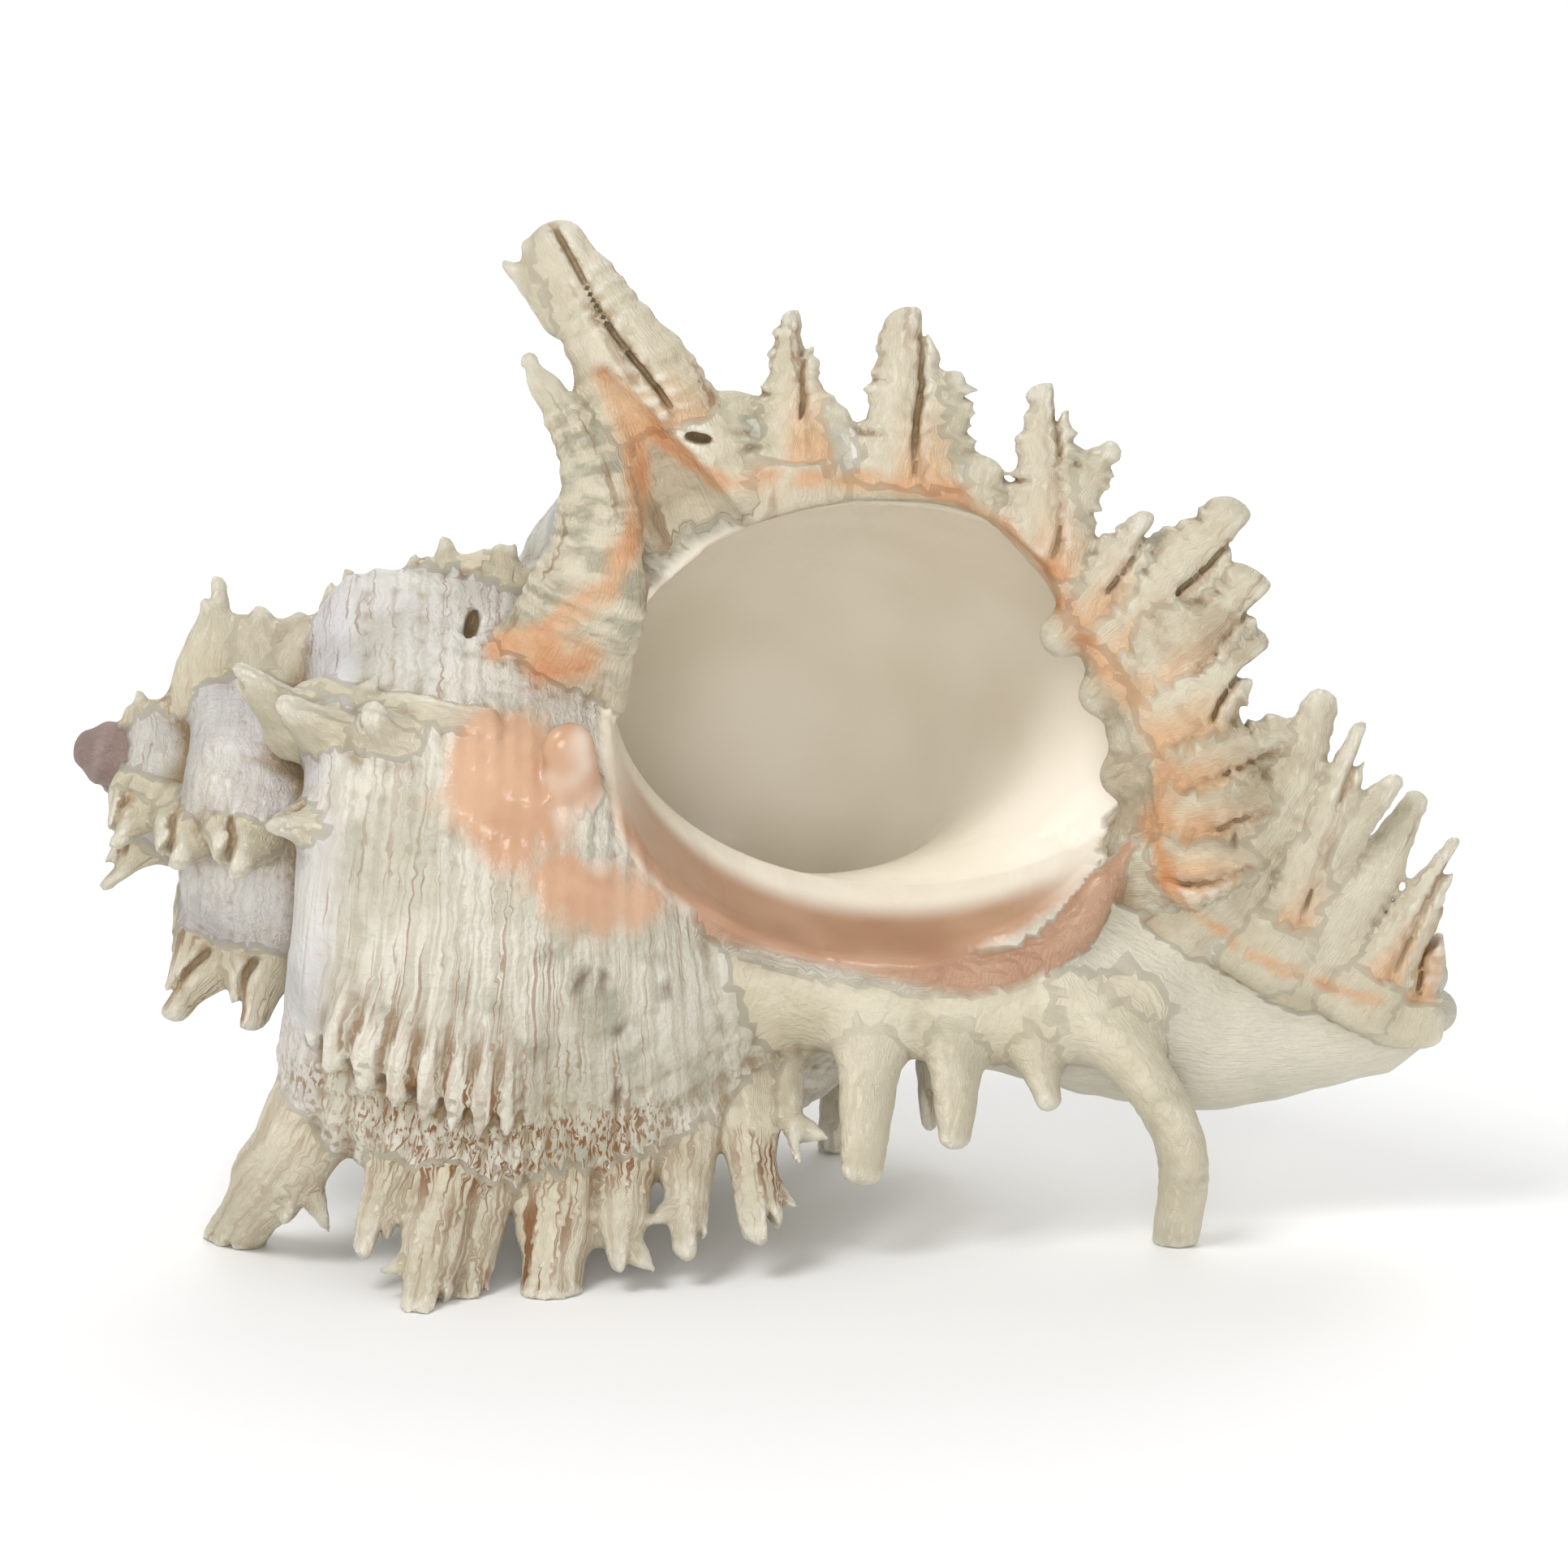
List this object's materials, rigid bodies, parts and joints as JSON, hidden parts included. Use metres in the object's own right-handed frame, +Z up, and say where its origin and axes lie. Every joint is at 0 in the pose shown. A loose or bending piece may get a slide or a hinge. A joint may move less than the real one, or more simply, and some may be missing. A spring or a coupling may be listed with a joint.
{
  "type": "branched murex sea shell",
  "caption": "Coiled sea shell with a wide oval mouth, rows of folded spines and a long flattened canal, resting on its spine tips.",
  "frame": {"origin": "centre of the shell's outer box, on the ground that it rests on", "axes": "+X from the tip of the spire towards the tip of the canal, -Y the way the mouth faces, +Z up, with the lip on top"},
  "size_m": [0.1862, 0.1026, 0.1362],
  "materials": {
    "shell": "chalky cream outside with peach, orange and brown markings, glossy beige porcelain inside the mouth"
  },
  "bodies": {
    "root": {"shell": "shell"}
  },
  "joints": []
}
